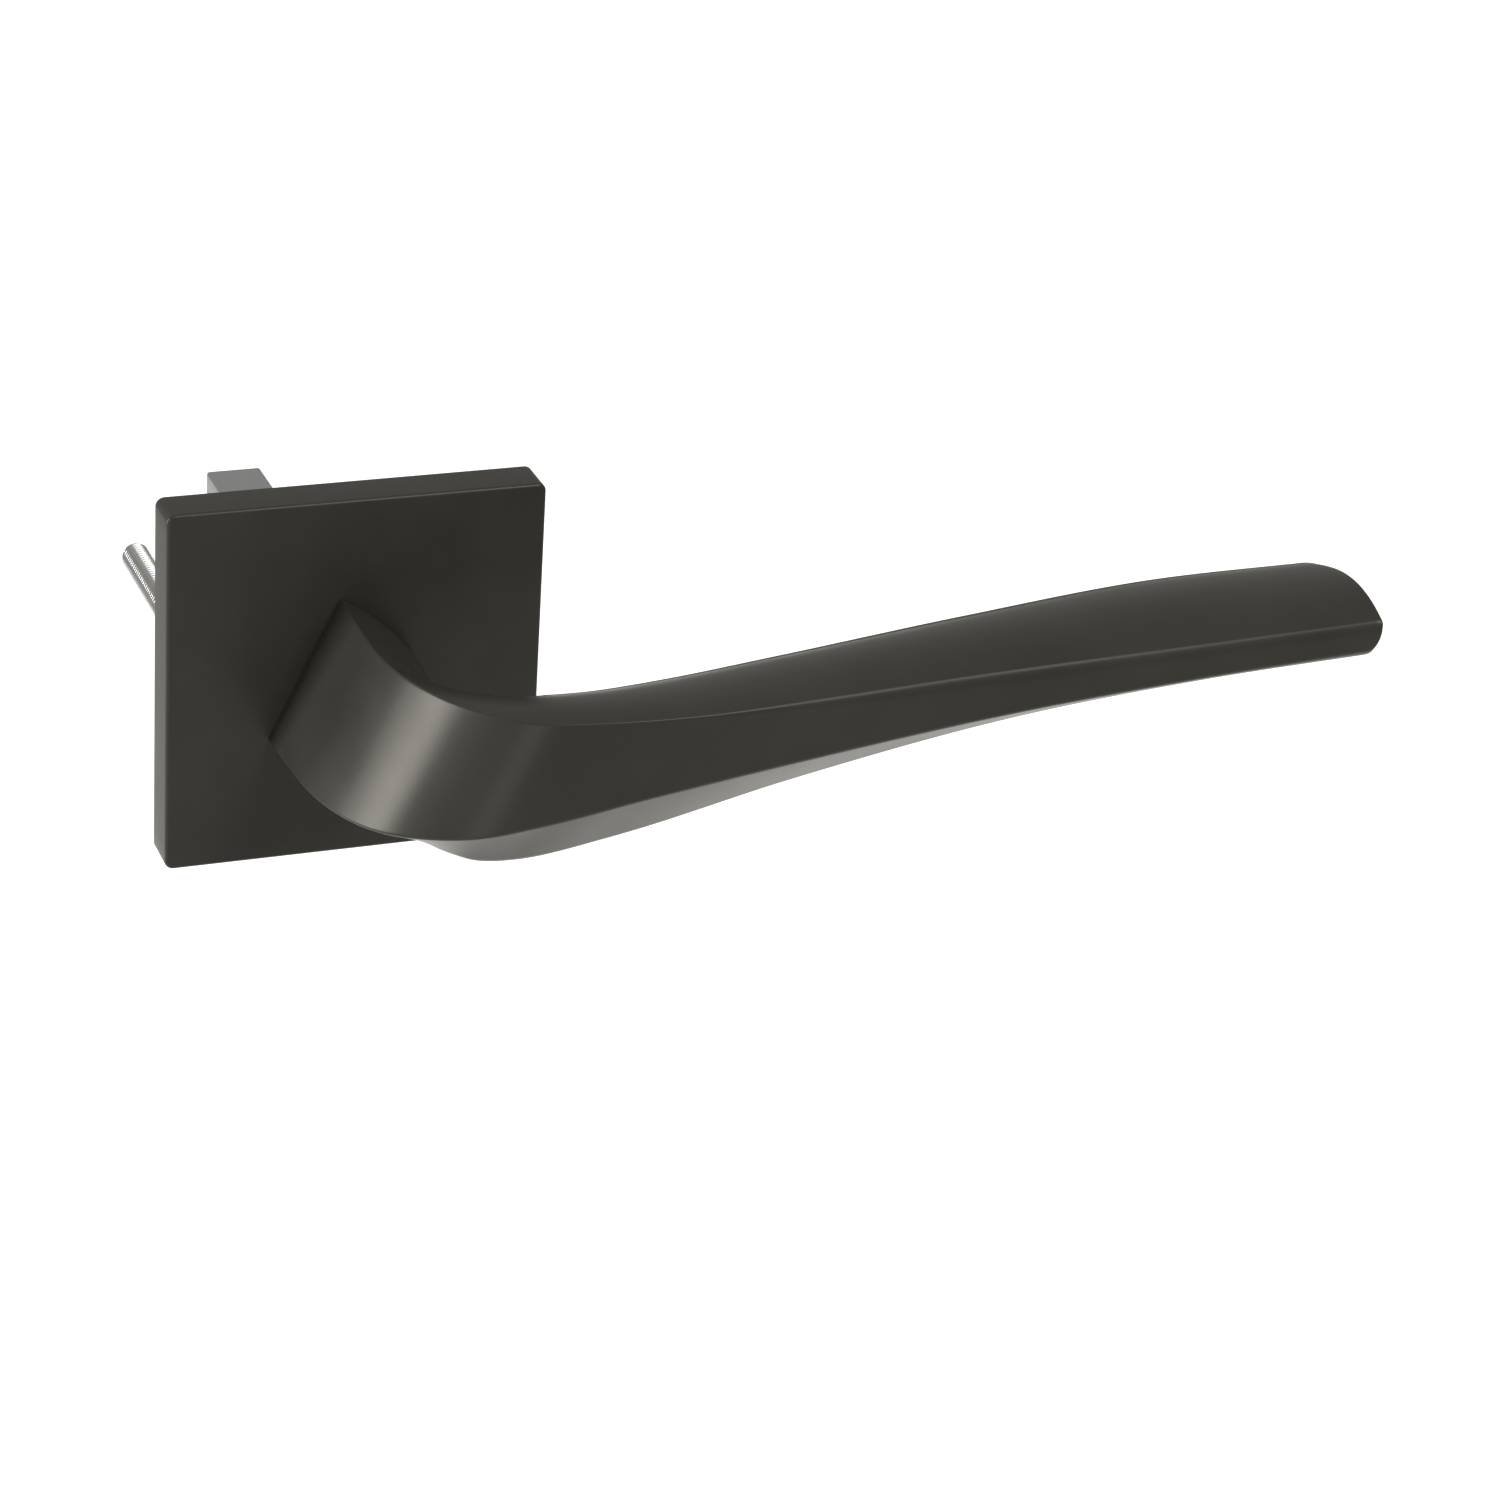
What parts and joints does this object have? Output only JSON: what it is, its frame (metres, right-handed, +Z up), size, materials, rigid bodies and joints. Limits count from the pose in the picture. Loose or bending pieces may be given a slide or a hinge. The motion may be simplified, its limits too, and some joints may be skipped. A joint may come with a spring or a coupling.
{
  "type": "door lever handle",
  "caption": "Satin black door lever on a square rose: a twisted blade grip on a curved neck, with return spring, square spindle and through-door fixings.",
  "frame": {"origin": "where the spindle's axis crosses the door face, at the centre of the rose's back", "axes": "+X along the grip from the hinge side to the tip, +Y into the door along the spindle, +Z up"},
  "size_m": [0.1598, 0.1095, 0.052],
  "materials": {
    "lever_finish": "satin black",
    "rose_finish": "satin black",
    "zinc_casting": "zinc alloy, as cast",
    "nylon": "natural nylon",
    "plated_steel": "bright zinc plate",
    "black_steel": "black oxide",
    "spring_steel": "oiled spring steel"
  },
  "bodies": {
    "rose": {"rose_cover": "rose_finish", "base_plate": "zinc_casting", "bearing_bush": "nylon", "rest_stop_pin": "plated_steel", "end_stop_pin": "plated_steel", "spring_anchor_pin": "plated_steel", "support_post_left": "zinc_casting", "support_post_right": "zinc_casting", "fixing_screw_left": "plated_steel", "fixing_screw_right": "plated_steel", "screw_washer_left": "plated_steel", "screw_washer_right": "plated_steel", "cover_clip_upper_1": "spring_steel", "cover_clip_upper_2": "spring_steel", "cover_clip_lower_1": "spring_steel", "cover_clip_lower_2": "spring_steel", "return_spring": "spring_steel"},
    "lever": {"lever_handle": "lever_finish", "spindle": "plated_steel", "grub_screw": "black_steel", "driver_disc": "plated_steel", "retaining_ring": "spring_steel", "thrust_washer": "nylon", "wave_washer": "spring_steel"}
  },
  "joints": [
    {"name": "lever_turn", "type": "hinge", "parent": "rose", "child": "lever", "pos_m": [0, 0, 0], "axis": [0, 1, 0], "range_deg": [0, 45], "stiffness_Nm_per_rad": 0.9, "springref_deg": -31.51, "deforming": ["return_spring"]}
  ]
}
